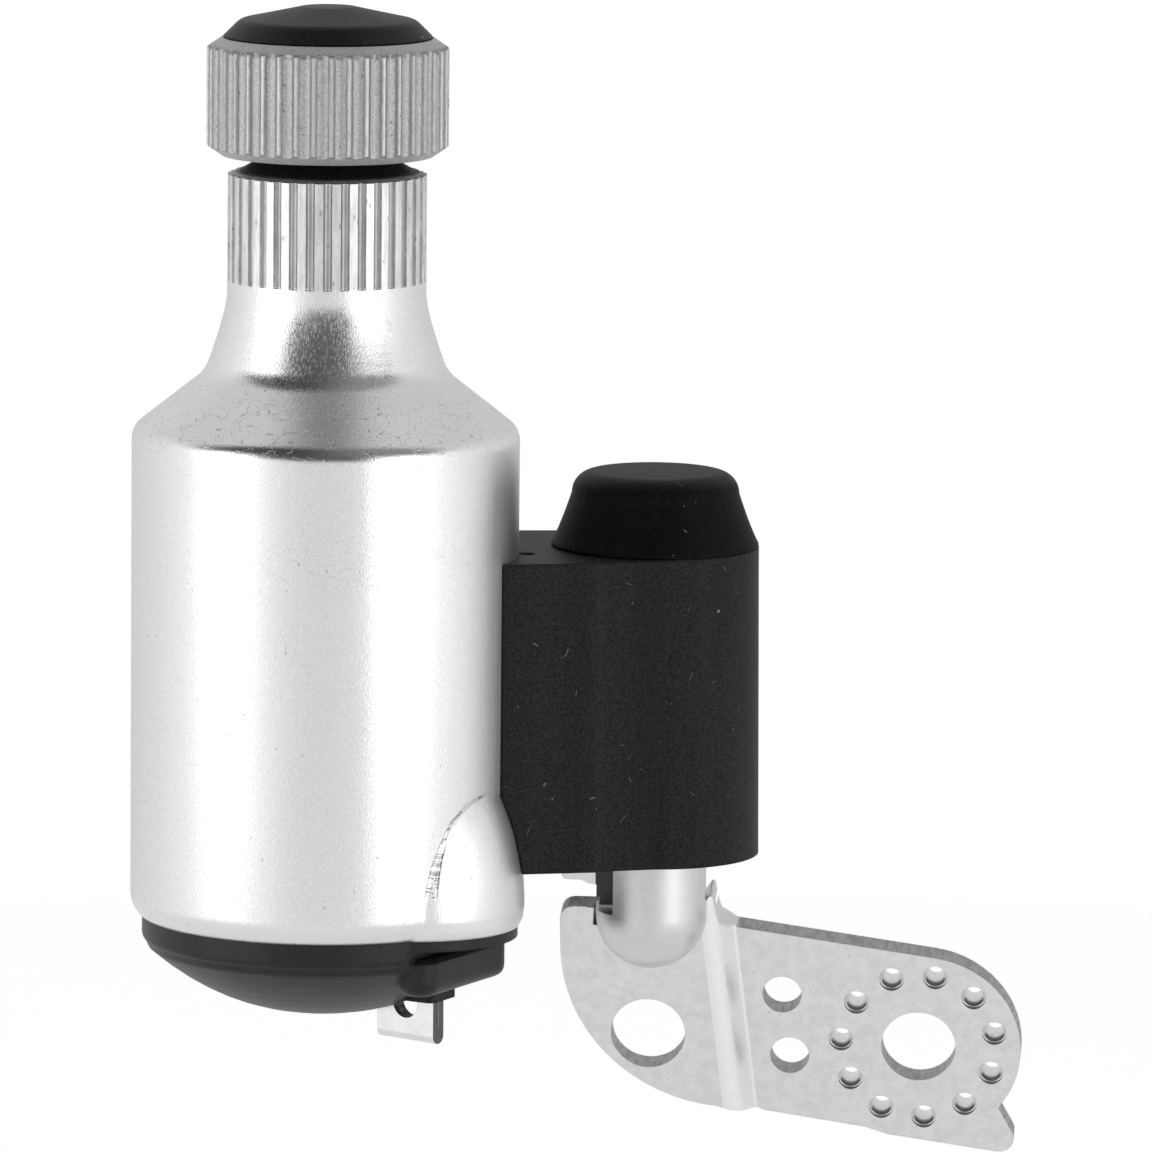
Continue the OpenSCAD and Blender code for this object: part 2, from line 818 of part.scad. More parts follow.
module neck_carrier() {
    rim = collar_in_r - seat;
    flange_r = body_in_r - slack;
    flange_z = stator_top + seat;
    cone_h = bush_top - collar_top - 0.1;
    color([0.12, 0.12, 0.12])
        on_dynamo()
            difference() {
                union() {
                    translate([0, 0, neck_foot_z])
                        cylinder(r = rim, h = collar_top - neck_foot_z + 0.1);
                    translate([0, 0, collar_top + 0.1])
                        cylinder(r1 = rim, r2 = bush_r, h = cone_h);
                    translate([0, 0, flange_z])
                        cylinder(r = flange_r, h = carrier_flange_t);
                    translate([0, 0, flange_z + carrier_flange_t])
                        cylinder(r1 = rim + 1 + carrier_wall,
                                 r2 = rim,
                                 h = neck_foot_z - flange_z - carrier_flange_t);
                }
                translate([0, 0, flange_z - past])
                    cylinder(r = bush_r + seat, h = bush_top - flange_z + 2 * past);
                translate([0, 0, flange_z - past])
                    cylinder(r1 = rim + 1, r2 = bush_r, h = neck_foot_z - flange_z + past);
            }
}

module upper_bush() {
    color("darkgoldenrod")
        on_dynamo()
            ring(bush_r, shaft_r + run, neck_foot_z, bush_top - neck_foot_z);
}

module lower_plate() {
    color("darkslategray")
        on_dynamo()
            difference() {
                union() {
                    translate([0, 0, plate_z])
                        cylinder(r = body_in_r - slack, h = plate_t);
                    translate([0, 0, lower_bush_z])
                        cylinder(r = bush_r + plate_boss_w, h = lower_bush_h);
                    ring(stator_r, stator_r - plate_rim_w, plate_z, stator_z - plate_z - seat);
                }
                translate([0, 0, lower_bush_z - past])
                    cylinder(r = bush_r + seat, h = lower_bush_h + 2 * past);
                at_bulge()
                    translate([contact_r() - 0.6, -2.6, lower_bush_z])
                        cube([1.6, 5.2, stator_z]);
            }
}

module lower_bush() {
    color("darkgoldenrod")
        on_dynamo()
            ring(bush_r, shaft_r + run, lower_bush_z, lower_bush_h);
}

module yoke_ring() {
    color("slategray")
        on_dynamo()
            ring(stator_r, stator_r - yoke_wall, stator_z, stator_h);
}

// A pole plate at z = 0 with its claws standing up
module pole_plate() {
    ring(stator_r - yoke_wall - seat, claw_r, 0, claw_t);
    for (i = [0 : claw_count - 1])
        rotate([0, 0, 360 * i / claw_count])
            intersection() {
                ring(claw_out_r, claw_r, 0, stator_h - claw_tip);
                rotate([90, 0, 90])
                    linear_extrude(claw_out_r + past)
                        polygon([[-5.4, 0], [5.4, 0], [2, stator_h - claw_tip], [-2, stator_h - claw_tip]]
                                * (claw_r / 10.7) * min(1, 4 / claw_count));
            }
}

module lower_claw() {
    color("lightsteelblue")
        on_dynamo()
            translate([0, 0, stator_z])
                pole_plate();
}

module upper_claw() {
    color("steelblue")
        on_dynamo()
            translate([0, 0, stator_top])
                rotate([180, 0, 180 / claw_count])
                    pole_plate();
}

module bobbin() {
    color("ivory")
        on_dynamo() {
            ring(bobbin_in_r + bobbin_wall, bobbin_in_r, bobbin_z, bobbin_h);
            ring(bobbin_out_r, bobbin_in_r, bobbin_z, bobbin_wall);
            ring(bobbin_out_r, bobbin_in_r, bobbin_z + bobbin_h - bobbin_wall, bobbin_wall);
        }
}

module winding() {
    color("chocolate")
        on_dynamo()
            ring(bobbin_out_r - 0.8, bobbin_in_r + bobbin_wall + seat, bobbin_z + bobbin_wall + seat,
                 bobbin_h - 2 * bobbin_wall - 2 * seat);
}

// Bottom cap and terminal

function contact_r() = cap_spigot_r - cap_wall - contact_in;

// Underside of the cap, from the axis to its side wall
function cap_path(r, depth) = concat(
    [for (i = [0 : 10]) let (x = (r - 0.7) * i / 10) [x, -depth + (depth - cap_side) * (x / r) ^ 2.3]],
    arc(r - 1, -cap_side + 0.9, 1, -50, 0, 4));

module cap_body(r, depth, top) {
    rotate_extrude()
        polygon(concat(cap_path(r, depth), [[r, top], [0, top]]));
}

// Half of the nose bar's section: flat on top, rounded below, x from its own middle
function bar_section(half) = concat(
    [[0, bar_top], [half - bar_edge, bar_top], [half, bar_top - bar_edge]],
    arc(half - bar_round, bar_round - cap_bar_low, bar_round, 0, -90, 5),
    [[0, -cap_bar_low]]);

module cap_bar() {
    half = cap_bar_w / 2;
    at_bulge()
        translate([bar_out - half, 0, 0]) {
            translate([0, (cap_bar_len - cap_bar_w) / 2, 0])
                rotate([90, 0, 0])
                    linear_extrude(cap_bar_len - cap_bar_w) {
                        polygon(bar_section(half));
                        mirror([1, 0])
                            polygon(bar_section(half));
                    }
            for (s = [-1, 1])
                translate([0, s * (cap_bar_len - cap_bar_w) / 2, 0])
                    rotate_extrude()
                        polygon(bar_section(half));
        }
}

module block_plan(grow) {
    out = block_out + grow;
    half = block_half + grow;
    inner = terminal_edge - terminal_w - block_back - grow;
    edge = block_round;
    polygon(concat([[inner, half], [inner, -half]],
                   arc(out - edge, -half + edge, edge, -90, 0, 4),
                   arc(out - edge, half - edge, edge, 0, 90, 4)));
}

// Places children on the terminal's own plane, turned a little from the radius
module at_terminal() {
    at_bulge()
        translate([terminal_mid, 0, 0])
            rotate([0, 0, -terminal_turn])
                translate([-terminal_mid, 0, 0])
                    children();
}

module bottom_cap() {
    color([0.1, 0.1, 0.1])
        on_dynamo()
            difference() {
                union() {
                    difference() {
                        cap_body(cap_r, cap_depth, -seat);
                        at_bulge()
                            translate([cap_flat, -body_r, -body_r])
                                cube([body_r, 2 * body_r, body_r - cap_flange_t]);
                    }
                    cap_bar();
                    translate([0, 0, -seat])
                        cylinder(r = cap_spigot_r, h = cap_spigot_top);
                    intersection() {
                        translate([0, 0, -cap_flange_t])
                            cylinder(r = body_r * 1.5, h = cap_flange_t - seat);
                        at_bulge()
                            translate([bulge_mid_r, 0, 0])
                                cylinder(r = bulge_foot_r() - cap_step, h = body_r, center = true);
                    }
                }
                difference() {
                    cap_body(cap_spigot_r - cap_wall, cap_depth - cap_wall, cap_spigot_top + past);
                    at_bulge()
                        translate([cap_flat - cap_wall, -body_r, -body_r])
                            cube([body_r, 2 * body_r, body_r + 2 * cap_flange_t]);
                }
                at_bulge()
                    translate([0, 0, -body_r])
                        linear_extrude(body_r + past)
                            block_plan(seat);
            }
}

module cap_gasket() {
    color([0.2, 0.2, 0.2])
        on_dynamo()
            ring(body_in_r - slack, cap_spigot_r + seat, lip_mid + 1, gasket_h);
}

module terminal_block() {
    color([0.14, 0.14, 0.14])
        on_dynamo()
            difference() {
                union() {
                    at_bulge()
                        translate([0, 0, block_low])
                            linear_extrude(-block_low + 1)
                                block_plan(0);
                    intersection() {
                        at_bulge()
                            translate([0, 0, -body_r])
                                linear_extrude(body_r)
                                    block_plan(0);
                        cap_body(cap_r, cap_depth, past);
                    }
                }
                at_terminal()
                    translate([terminal_edge - terminal_w - seat, -terminal_sheet - seat, -body_r])
                        cube([terminal_w + 2 * seat, 2 * terminal_sheet + 2 * seat, 2 * body_r]);
            }
}

// Strip folded back on itself round the bottom, with a slot of air between the two leaves
module terminal() {
    leaf = terminal_sheet - 0.05;
    color("silver")
        on_dynamo()
            at_terminal()
                difference() {
                    union() {
                        translate([terminal_edge - terminal_w, -terminal_sheet, 1 - terminal_drop])
                            cube([terminal_w, leaf, terminal_drop + 2]);
                        translate([terminal_edge - terminal_w, 0.05, 1 - terminal_drop])
                            cube([terminal_w, leaf, terminal_drop - 1]);
                        translate([terminal_edge - terminal_w, 0, terminal_sheet - terminal_drop])
                            rotate([0, 90, 0])
                                cylinder(r = terminal_sheet, h = terminal_w);
                    }
                    translate([terminal_mid, 0, 4.25 - terminal_drop])
                        rotate([90, 0, 0])
                            cylinder(d = terminal_hole_d, h = 5 * terminal_sheet, center = true);
                }
}

module contact_strip() {
    color("goldenrod")
        on_dynamo()
            at_bulge() {
                translate([terminal_edge - terminal_w, -terminal_sheet, 3])
                    cube([contact_r() - terminal_edge + terminal_w + 0.4, terminal_sheet + 2.2, contact_t]);
                translate([contact_r(), -2.2, 3])
                    cube([0.4, 4.4, stator_z - 3.1]);
            }
}

// Rotor: all that turns with the shaft

module shaft() {
    color("lightgray")
        on_dynamo()
            difference() {
                translate([0, 0, lower_bush_z + shaft_drop])
                    cylinder(r = shaft_r, h = cap_top_z - shaft_short - lower_bush_z - shaft_drop);
                ring(shaft_r + past, shaft_r - clip_groove, clip_low(), clip_t);
            }
}

function clip_low() = magnet_z - hub_end - clip_t;

// Fluted drum, still solid
module roller_drum() {
    reach = 180 / roller_flutes - asin(roller_crest / 2 / roller_r);
    flute_mid = roller_r * cos(reach) + sqrt(roller_flute_r ^ 2 - (roller_r * sin(reach)) ^ 2);
    intersection() {
        translate([0, 0, roller_z - past])
            linear_extrude(roller_h + 2 * past)
                difference() {
                    circle(r = roller_r);
                    for (i = [0 : roller_flutes - 1])
                        rotate(360 * i / roller_flutes)
                            translate([flute_mid, 0])
                                circle(r = roller_flute_r, $fn = 32);
                }
        translate([0, 0, roller_z])
            rotate_extrude()
                polygon([[0, 0], [roller_r - roller_chamfer, 0], [roller_r, roller_bevel],
                         [roller_r, roller_h - roller_bevel], [roller_r - roller_chamfer, roller_h],
                         [0, roller_h]]);
    }
}

module drive_roller() {
    color("darkgray")
        on_dynamo()
            difference() {
                roller_drum();
                translate([0, 0, roller_z - past])
                    cylinder(r1 = 10.2, r2 = 8.6, h = roller_skirt + past);
                translate([0, 0, roller_top - roller_well])
                    cylinder(r = roller_well_r, h = roller_well + past);
                translate([0, 0, roller_z])
                    cylinder(r = shaft_r + seat, h = roller_h);
            }
}

module roller_nut() {
    color("silver")
        on_dynamo()
            translate([0, 0, roller_top - roller_well + seat])
                difference() {
                    cylinder(d = nut_af / cos(30), h = nut_h, $fn = 6);
                    translate([0, 0, -past])
                        cylinder(r = shaft_r + seat, h = nut_h + 2 * past);
                }
}

module roller_cap() {
    knee_r = cap_foot_r - 1.7;
    color([0.1, 0.1, 0.1])
        on_dynamo()
            translate([0, 0, roller_top + seat])
                difference() {
                    union() {
                        rotate_extrude()
                            polygon(concat([[0, 0], [cap_foot_r, 0], [cap_foot_r, 0.15]],
                                           bend([knee_r + 0.35, roller_cap_h - 1.85],
                                                [knee_r, roller_cap_h - 1.5],
                                                [knee_r - 0.5, roller_cap_h - 1.37], 4),
                                           [[6.3, roller_cap_h - 0.8], [2.9, roller_cap_h - 0.05],
                                            [0, roller_cap_h]]));
                        translate([0, 0, -2])
                            cylinder(r = roller_well_r - seat, h = 2.5);
                    }
                    translate([0, 0, -2 - past])
                        cylinder(r = roller_well_r - 1.4, h = 3.2 + past);
                }
}

module thrust_washer() {
    color("ivory")
        on_dynamo()
            ring(bush_r + washer_w, shaft_r + seat, bush_top + slack, washer_t - seat);
}

module magnet() {
    color([0.25, 0.25, 0.27])
        on_dynamo()
            ring(magnet_d / 2, magnet_bore_r, magnet_z, magnet_h);
}

module magnet_hub() {
    color("beige")
        on_dynamo() {
            ring(magnet_bore_r - seat, shaft_r + seat, magnet_z - hub_end, magnet_h + 2 * hub_end);
            ring(magnet_bore_r + hub_flange_w, shaft_r + seat, magnet_z + magnet_h + seat, hub_flange_t);
        }
}

module lower_washer() {
    low = lower_bush_z + lower_bush_h + slack;
    color("ivory")
        on_dynamo()
            ring(bush_r + washer_w, shaft_r + seat, low, clip_low() - low - seat);
}

module shaft_clip() {
    color("dimgray")
        on_dynamo()
            ring(shaft_r + clip_w, shaft_r - clip_groove + seat, clip_low() + seat, clip_t - 2 * seat);
}

bracket();
tube_clip();
bottle();
hinge_housing();
hinge_rivets();
lower_hinge_bush();
upper_hinge_bush();
swing_spring();
button_guide();
button_spring();
button_boot();
latch_plunger();
neck_carrier();
upper_bush();
lower_plate();
lower_bush();
yoke_ring();
upper_claw();
lower_claw();
bobbin();
winding();
bottom_cap();
cap_gasket();
terminal_block();
terminal();
contact_strip();
shaft();
drive_roller();
roller_cap();
roller_nut();
thrust_washer();
magnet();
magnet_hub();
lower_washer();
shaft_clip();
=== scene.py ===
import math

import bpy
from mathutils import Matrix, Vector


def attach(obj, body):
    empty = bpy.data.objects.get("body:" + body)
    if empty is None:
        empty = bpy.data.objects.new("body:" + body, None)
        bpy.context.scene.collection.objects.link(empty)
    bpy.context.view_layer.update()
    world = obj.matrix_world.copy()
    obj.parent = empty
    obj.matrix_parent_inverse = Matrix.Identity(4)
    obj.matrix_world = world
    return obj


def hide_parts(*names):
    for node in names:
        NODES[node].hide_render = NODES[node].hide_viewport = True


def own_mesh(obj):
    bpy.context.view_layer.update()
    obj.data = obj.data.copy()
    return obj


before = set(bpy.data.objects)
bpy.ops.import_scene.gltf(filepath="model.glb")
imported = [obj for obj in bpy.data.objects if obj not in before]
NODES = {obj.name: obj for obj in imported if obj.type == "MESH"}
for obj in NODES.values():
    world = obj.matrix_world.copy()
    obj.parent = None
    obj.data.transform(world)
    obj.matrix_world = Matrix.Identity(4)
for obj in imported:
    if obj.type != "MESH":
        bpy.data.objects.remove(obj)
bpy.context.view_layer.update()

# Places and angles that part.scad sets, in metres and radians: the hinge's axis at the sheet, the
# can's axis at rest, the housing's top, the fluted collar's ends, the drawn tube and the sheet's lean
HINGE = Vector((-0.0291, -0.0073, 0.0167))
HINGE_REACH = 0.0364
REST = math.radians(17)
AXIS = HINGE - HINGE_REACH * Vector((math.cos(REST), math.sin(REST), 0))
SHELF = HINGE.z + 0.03945
COLLAR = (0.0858, 0.0985)
TUBE_R = 0.006
DOME_Z = HINGE.z - 0.0012
SHEET_LEAN = math.radians(14)

# The rubber boot's height above the shelf, in millimetres
BOOT_HEIGHT = 8.2

# The photograph's camera, in degrees
CAMERA_AZIMUTH = 5.1
CAMERA_DOWN = 8.57
CAMERA_ROLL = 0.57


def grey(value):
    return (value, value, value, 1.0)


# Short calls that build node trees

class Nodes:
    """A node tree, emptied, with a short call for each kind of node used here."""

    def __init__(self, tree):
        self.tree = tree
        tree.nodes.clear()

    def add(self, kind, **settings):
        node = self.tree.nodes.new(kind)
        for key, value in settings.items():
            setattr(node, key, value)
        return node

    def link(self, source, target):
        """Joins two sockets, or sets the target where the source is a plain value."""
        if isinstance(source, (int, float, tuple, list)):
            target.default_value = source
        else:
            self.tree.links.new(source, target)

    def feed(self, node, **values):
        """Links or sets a node's inputs by name, with _ for a space, and gives the first output."""
        for name, value in values.items():
            self.link(value, node.inputs[name.replace("_", " ")])
        return node.outputs[0]

    def math(self, operation, a, b=0.0, c=0.0, clamp=False):
        node = self.add("ShaderNodeMath", operation=operation, use_clamp=clamp)
        for value, socket in zip((a, b, c), node.inputs):
            self.link(value, socket)
        return node.outputs[0]

    def times(self, a, b):
        return self.math("MULTIPLY", a, b)

    def minus(self, a, b):
        return self.math("SUBTRACT", a, b)

    def larger(self, a, b):
        return self.math("MAXIMUM", a, b)

    def absolute(self, value):
        return self.math("ABSOLUTE", value)

    def total(self, *values):
        found = values[0]
        for value in values[1:]:
            found = self.math("ADD", found, value)
        return found

    def weighted(self, *pairs):
        """Sum of (value, weight) pairs."""
        return self.total(*(self.times(value, weight) for value, weight in pairs))

    def hypot(self, a, b):
        return self.math("SQRT", self.total(self.times(a, a), self.times(b, b)))

    def bearing(self, opposite, adjacent):
        """Angle of a direction, in degrees."""
        return self.times(self.math("ARCTAN2", opposite, adjacent), 180 / math.pi)

    def split(self, vector):
        node = self.add("ShaderNodeSeparateXYZ")
        self.link(vector, node.inputs[0])
        return node.outputs

    def fade(self, value, low, high, start=0.0, end=1.0):
        """Goes smoothly from start to end while the value goes from low to high."""
        node = self.add("ShaderNodeMapRange", interpolation_type="SMOOTHSTEP")
        return self.feed(node, Value=value, From_Min=low, From_Max=high, To_Min=start, To_Max=end)

    def within(self, value, low, high, soft):
        """1 between two limits, fading out on both sides."""
        return self.times(self.fade(value, low - soft, low + soft),
                          self.fade(value, high + soft, high - soft))

    def ramp(self, value, points):
        """A smooth curve through (input, output) points, with inputs that rise."""
        first, last = points[0][0], points[-1][0]
        low = min(found for _, found in points)
        high = max(found for _, found in points)
        node = self.add("ShaderNodeValToRGB")
        self.link(self.times(self.minus(value, first), 1 / (last - first)), node.inputs[0])
        curve = node.color_ramp
        while len(curve.elements) < len(points):
            curve.elements.new(0.5)
        for element, (place, found) in zip(curve.elements, points):
            element.position = (place - first) / (last - first)
            element.color = grey((found - low) / (high - low))
        curve.interpolation = "B_SPLINE"
        return self.math("MULTIPLY_ADD", node.outputs[0], high - low, low)

    def level(self, factor, a, b):
        """Number between a and b."""
        node = self.add("ShaderNodeMix", data_type="FLOAT")
        self.link(factor, node.inputs["Factor"])
        self.link(a, node.inputs[2])
        self.link(b, node.inputs[3])
        return node.outputs[0]

    def blend(self, factor, a, b):
        """Colour between a and b, where a plain number is a grey."""
        node = self.add("ShaderNodeMix", data_type="RGBA")
        self.link(factor, node.inputs["Factor"])
        for value, socket in ((a, node.inputs[6]), (b, node.inputs[7])):
            self.link(grey(value) if isinstance(value, float) else value, socket)
        return node.outputs[2]


class Surface(Nodes):
    """A material: one principled shader, and patterns in the piece's own coordinates."""

    def __init__(self, name):
        self.material = bpy.data.materials.new(name)
        self.material.use_nodes = True
        super().__init__(self.material.node_tree)
        out = self.add("ShaderNodeOutputMaterial")
        self.shader = self.add("ShaderNodeBsdfPrincipled")
        self.link(self.shader.outputs[0], out.inputs["Surface"])
        found = self.add("ShaderNodeTexCoord")
        self.coord = found.outputs["Object"]
        self.normal = found.outputs["Normal"]

    def shade(self, **values):
        """Feeds the shader and gives the material."""
        self.feed(self.shader, **values)
        return self.material

    def place(self, scale, move=(0, 0, 0)):
        """The piece's coordinates, stretched and moved."""
        node = self.add("ShaderNodeMapping")
        return self.feed(node, Vector=self.coord, Scale=scale, Location=move)

    def far(self, x, y):
        """Distance from an upright line."""
        here = self.split(self.coord)
        return self.hypot(self.minus(here[0], x), self.minus(here[1], y))

    def facing(self, x, y, z):
        """How squarely the surface faces a direction."""
        node = self.add("ShaderNodeVectorMath", operation="DOT_PRODUCT")
        self.link(self.normal, node.inputs[0])
        node.inputs[1].default_value = Vector((x, y, z)).normalized()
        return node.outputs["Value"]

    def noise(self, vector, scale=1.0, detail=2.0, rough=0.5, distortion=0.0):
        node = self.add("ShaderNodeTexNoise")
        return self.feed(node, Vector=vector, Scale=scale, Detail=detail, Roughness=rough,
                         Distortion=distortion)

    def specks(self, vector, scale, size, share):
        """1 in small round dots, in the given share of the cells."""
        node = self.add("ShaderNodeTexVoronoi")
        self.feed(node, Vector=vector, Scale=scale)
        pick = self.feed(self.add("ShaderNodeTexWhiteNoise"), Vector=node.outputs["Color"])
        dot = self.fade(node.outputs["Distance"], size, size * 0.5)
        return self.times(dot, self.math("LESS_THAN", pick, share))

    def hairs(self, vector, scale, width, mask_scale, share, distortion):
        """1 along thin curved lines, where a second noise lets them show."""
        line = self.noise(vector, scale, 1.0, 0.4, distortion)
        thin = self.fade(self.absolute(self.minus(line, 0.5)), width, width * 0.3)
        mask = self.noise(vector, mask_scale, 1.0)
        return self.times(thin, self.fade(mask, share, share + 0.04))

    def rounded(self, radius):
        """Normal with the edges softened, for a bump to start from."""
        node = self.add("ShaderNodeBevel", samples=6)
        return self.feed(node, Radius=radius)

    def bump(self, height, distance, under=None):
        node = self.add("ShaderNodeBump")
        if under is not None:
            self.link(under, node.inputs["Normal"])
        return self.feed(node, Height=height, Distance=distance, Strength=1.0)


# Metals

def can_scuffs(g, z):
    """Handling marks in a ring round the shoulder and a fainter one lower down.

    Gives all the marks, and the lines among them alone.
    """
    ring = g.weighted((g.within(z, 0.0690, 0.0742, 0.0012), 1.0),
                      (g.within(z, 0.055, 0.061, 0.002), 0.3))
    lines = g.hairs(g.place((0.7, 0.7, 1.2)), 850, 0.012, 700, 0.44, 0.5)
    dots = g.specks(g.place((1, 1, 1), (0.2, 0.1, 0.3)), 2100, 0.26, 0.32)
    return g.times(ring, g.weighted((lines, 0.7), (dots, 0.5))), g.times(ring, lines)


def can_collar(g, z):
    """1 on the fluted collar, then its tone, with flutes darkened by painted shade between bright lands,
    and its nicks and darker top faces.
    """
    collar = g.within(z, COLLAR[0], COLLAR[1], 0.0002)
    ragged = g.noise(g.place((2600, 2600, 900)), detail=4.0, rough=0.7)
    radius = g.math("MULTIPLY_ADD", ragged, 0.0005, g.far(AXIS.x, AXIS.y))
    flute = g.times(collar, g.fade(radius, 0.01090, 0.01074))
    worn = g.noise(g.place((1400, 1400, 220)), detail=3.0, rough=0.7)
    land = g.blend(g.fade(worn, 0.3, 0.7), 0.70, 0.93)
    # painted shade: the flute beds get a darker tone than the lands
    bed_with_painted_shade = g.blend(worn, 0.28, 0.66)
    # the collar's upward faces near its top are made darker
    darker_top_faces = g.times(g.fade(g.facing(0, 0, 1), 0.4, 0.8), g.fade(z, 0.0955, 0.0965))
    nicks = g.times(collar, g.specks(g.place((1, 1, 0.45)), 1700, 0.34, 0.14))
    marks_and_darkening = g.weighted((nicks, 0.5), (darker_top_faces, g.fade(worn, 0.3, 0.6, 0.4, 1.1)))
    return collar, g.blend(flute, land, bed_with_painted_shade), marks_and_darkening


def can_crease(g, z, angle):
    """Ticks where the bulge was pushed out of the can, along a line given as angle over height."""
    line = g.ramp(z, [(0.0186, -52.4), (0.0216, -50.4), (0.0240, -49.4), (0.0263, -47.2),
                      (0.0294, -42.9), (0.0311, -35.5), (0.0319, -26.0)])
    off = g.absolute(g.times(g.minus(angle, line), g.fade(z, 0.0285, 0.0317, 0.34, 0.09)))
    past = g.minus(off, g.fade(z, 0.0222, 0.0312, 0.5, 0.13))
    rim = g.fade(g.absolute(past), 0.12, 0.03)
    rungs = g.fade(g.noise(g.place((700, 700, 2500)), detail=2.0, distortion=0.6), 0.5, 0.6)
    inside = g.times(g.fade(past, 0.05, -0.05), rungs)
    return g.times(g.weighted((rim, 0.55), (inside, 0.9)), g.within(z, 0.0216, 0.0317, 0.0002))


def can_metal():
    """Drawn aluminium, streaked and scratched, with brushing on the neck, painted shade in the crease's
    ticks and a collar with nicks, darker top faces and painted shade in its flutes.
    """
    g = Surface("can_aluminium_drawn")
    x, y, z = g.split(g.coord)
    angle = g.bearing(g.minus(y, AXIS.y), g.minus(x, AXIS.x))
    streaks = g.noise(g.place((1100, 1100, 45)), detail=3.0, rough=0.6)
    grain = g.noise(g.place((6400, 6400, 3200)), detail=2.0, rough=0.6)
    cloud = g.noise(g.place((90, 90, 60)), detail=3.0)
    bristles = g.noise(g.place((6500, 6500, 800)), detail=2.0, rough=0.6)
    brushed = g.times(g.within(z, 0.0735, 0.0860, 0.0015), g.fade(bristles, 0.50, 0.66))

    pits = g.specks(g.coord, 900, 0.16, 0.05)
    fine_pits = g.specks(g.coord, 2600, 0.22, 0.08)
    upright = g.hairs(g.place((1, 1, 0.3)), 210, 0.005, 480, 0.66, 0.0)
    across = g.hairs(g.place((0.35, 0.35, 1)), 240, 0.005, 420, 0.66, 0.0)
    scuffs, scuff_lines = can_scuffs(g, z)
    marks = g.weighted((pits, 0.8), (fine_pits, 0.4), (upright, 0.35), (across, 0.35), (scuffs, 1.0))
    collar, collar_tone_and_shade, collar_nicks_and_darker_top = can_collar(g, z)
    crease = can_crease(g, z, angle)

    tone = g.blend(collar, g.blend(g.fade(grain, 0.3, 0.7), 0.85, 0.95), collar_tone_and_shade)
    # painted shade: the crease's ticks are darkened here as well as bumped in
    marks_and_darkening = g.weighted((marks, 0.55), (crease, 0.75), (collar_nicks_and_darker_top, 1.0))
    duller_side = g.within(angle, -40, 30, 12)
    roughness = g.total(g.level(streaks, 0.15, 0.27),
                        g.weighted((g.minus(cloud, 0.5), 0.12), (marks, 0.2), (collar, 0.2),
                                   (duller_side, 0.2), (brushed, 0.16)))
    height = g.weighted((streaks, 0.6), (grain, 1.3), (marks, -0.8), (crease, -2.0),
                        (scuff_lines, -0.8), (brushed, -0.35))
    edge = g.level(g.fade(z, COLLAR[0] - 0.0006, COLLAR[0]), 0.0006, 0.00008)
    return g.shade(Base_Color=g.blend(marks_and_darkening, tone, 0.24), Metallic=1.0, Roughness=roughness,
                   Normal=g.bump(height, 0.000012, g.rounded(edge)))


def roller_metal():
    """Blasted steel: bright worn crests, with painted shade darkening the flanks and groove ends."""
    g = Surface("roller_steel_blasted")
    z = g.split(g.coord)[2]
    grain = g.noise(g.place((5200, 5200, 5200)), detail=2.0, rough=0.7)
    cloud = g.noise(g.place((520, 520, 300)), detail=3.0)
    ragged = g.noise(g.place((2400, 2400, 900)), detail=3.0)
    pits = g.specks(g.coord, 2300, 0.27, 0.06)
    radius = g.math("MULTIPLY_ADD", ragged, 0.00016, g.far(AXIS.x, AXIS.y))
    crest = g.times(g.fade(radius, 0.01298, 0.01304), g.fade(ragged, 0.3, 0.55, 0.5, 1.0))
    flank = g.within(radius, 0.01276, 0.01293, 0.00005)
    groove_end = g.times(g.within(z, 0.1105, 0.1110, 0.0002), g.fade(radius, 0.01296, 0.01288))
    # painted shade: the groove flanks and the grooves' upper ends are darkened
    painted_groove_shade = g.larger(g.times(flank, 0.7), g.times(groove_end, g.fade(ragged, 0.35, 0.6)))

    bed_with_painted_shade = g.blend(painted_groove_shade, g.blend(g.fade(grain, 0.3, 0.7), 0.41, 0.66), 0.2)
    skin = g.blend(g.times(g.minus(cloud, 0.35), 0.8), g.blend(g.times(crest, 0.8), bed_with_painted_shade, 0.7), 0.5)
    roughness = g.total(g.level(grain, 0.42, 0.6), g.times(crest, -0.12))
    height = g.weighted((grain, 1.0), (pits, -0.9), (cloud, 0.5), (ragged, 0.5))
    return g.shade(Base_Color=g.blend(g.times(pits, 0.75), skin, 0.1), Metallic=0.85,
                   Roughness=roughness, Normal=g.bump(height, 0.00006, g.rounded(0.00005)))


def sheared_walls(g, square, spared):
    """1 on the sheet's cut walls, which lie square to its face, and the tears across them."""
    sheared = g.times(g.fade(square, 0.22, 0.08), g.minus(1.0, spared))
    tears = g.noise(g.place((1900, 260, 1900)), detail=3.0, rough=0.7)
    return sheared, tears


def tube_mask(g, low):
    """1 on the drawn tube and the dome that ends it; low is the height over the dome's middle."""
    from_axis = g.far(HINGE.x, HINGE.y)
    from_mid = g.hypot(from_axis, low)
    wall = g.times(g.within(from_axis, TUBE_R - 0.00012, TUBE_R + 0.00012, 0.00005),
                   g.fade(low, -0.0002, 0.0))
    dome = g.times(g.within(from_mid, TUBE_R - 0.00015, TUBE_R + 0.00015, 0.00005),
                   g.fade(low, 0.0002, 0.0))
    return g.larger(wall, dome)


def drawn_rings(g, side, up, cloud):
    """Faint rings that the drawn dome left in the sheet below it, stronger on the left."""
    below = g.minus(-0.0022, up)
    ring = g.hypot(below, side)
    wave = g.math("SINE", g.math("MULTIPLY_ADD", ring, 5200, g.times(cloud, 4.0)))
    where = g.times(g.within(ring, 0.0074, 0.0105, 0.0012),
                    g.times(g.fade(below, 0.002, 0.006), g.fade(side, 0.003, -0.003, 0.3, 1.0)))
    return g.times(g.times(wave, 0.5), where)


